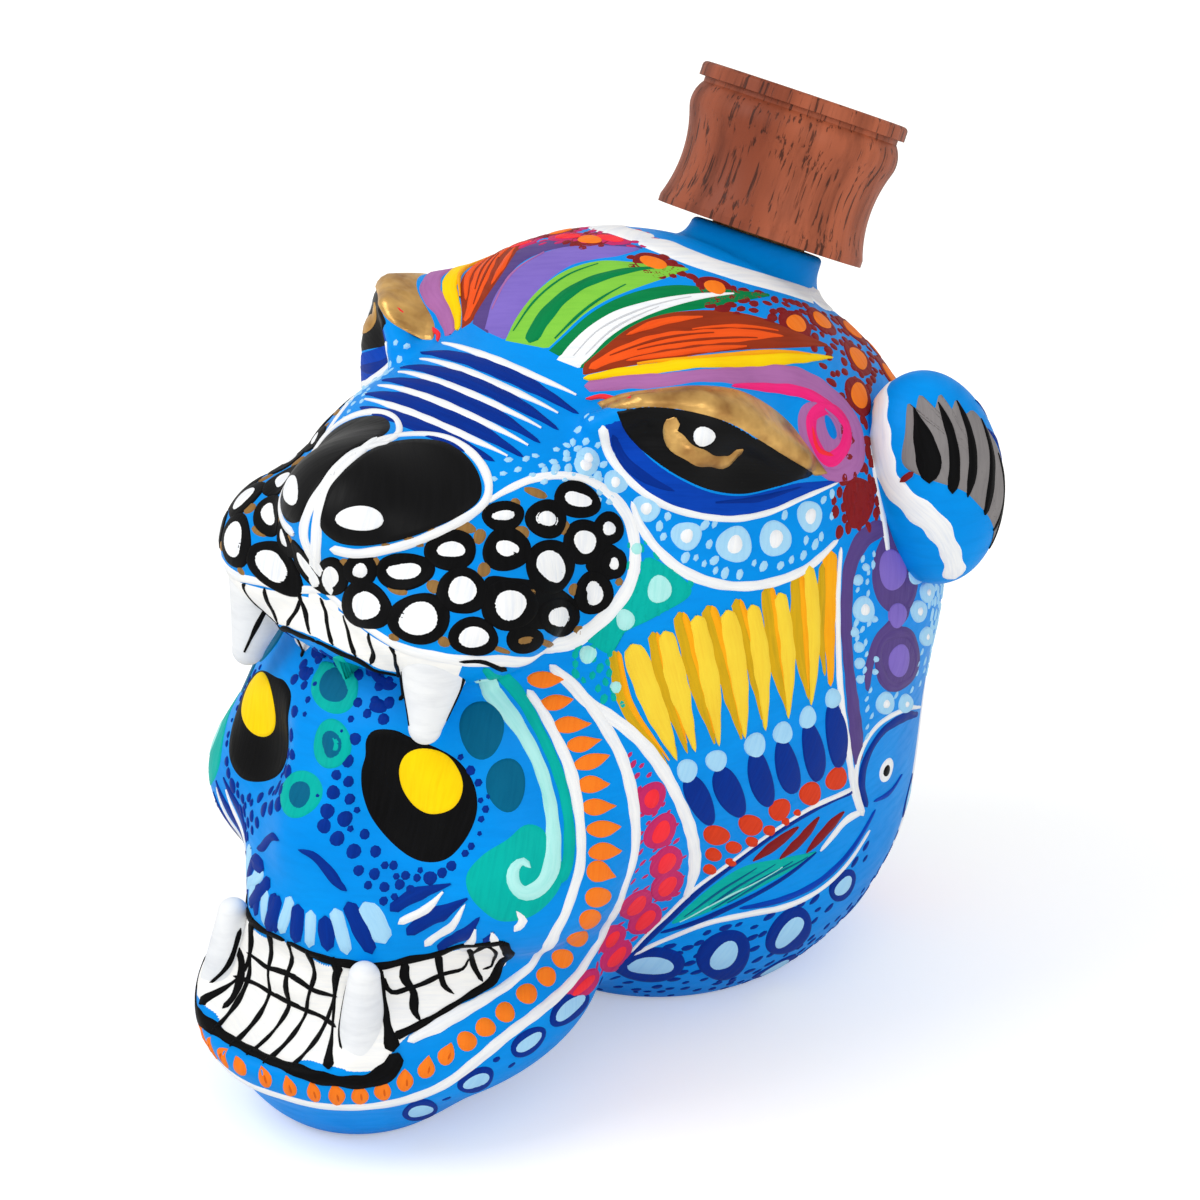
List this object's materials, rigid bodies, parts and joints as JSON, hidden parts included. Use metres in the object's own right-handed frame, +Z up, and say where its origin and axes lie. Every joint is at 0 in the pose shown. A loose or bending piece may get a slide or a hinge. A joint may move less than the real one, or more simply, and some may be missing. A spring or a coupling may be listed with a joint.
{
  "type": "skull and big cat bottle",
  "caption": "Hollow hand-painted ceramic bottle shaped as a skull in a big cat's open mouth, with fangs, ears, a short tilted neck and a turned wooden stopper on a cork.",
  "frame": {"origin": "centre of the bottle's length and width, on the plane of its flat foot", "axes": "+Z up, the face looks along -Y, +X is the object's own left, and the plane X = 0 is its mirror plane"},
  "size_m": [0.1272, 0.174, 0.1763],
  "materials": {
    "painted_clay": "fired clay under satin acrylic paint",
    "white_clay": "fired clay under satin white paint",
    "stopper_wood": "turned wood, stained and waxed",
    "stopper_cork": "natural cork"
  },
  "bodies": {
    "bottle": {"bottle_body": "painted_clay", "ear_left": "painted_clay", "ear_right": "painted_clay", "upper_fang_left": "white_clay", "upper_fang_right": "white_clay", "lower_fang_left": "white_clay", "lower_fang_right": "white_clay"},
    "stopper": {"stopper_head": "stopper_wood", "stopper_cork": "stopper_cork"}
  },
  "joints": [
    {"name": "stopper_pull", "type": "slide", "parent": "bottle", "child": "stopper", "axis": [0, 0.4664, 0.8846], "range_m": [0, 0.045]}
  ]
}
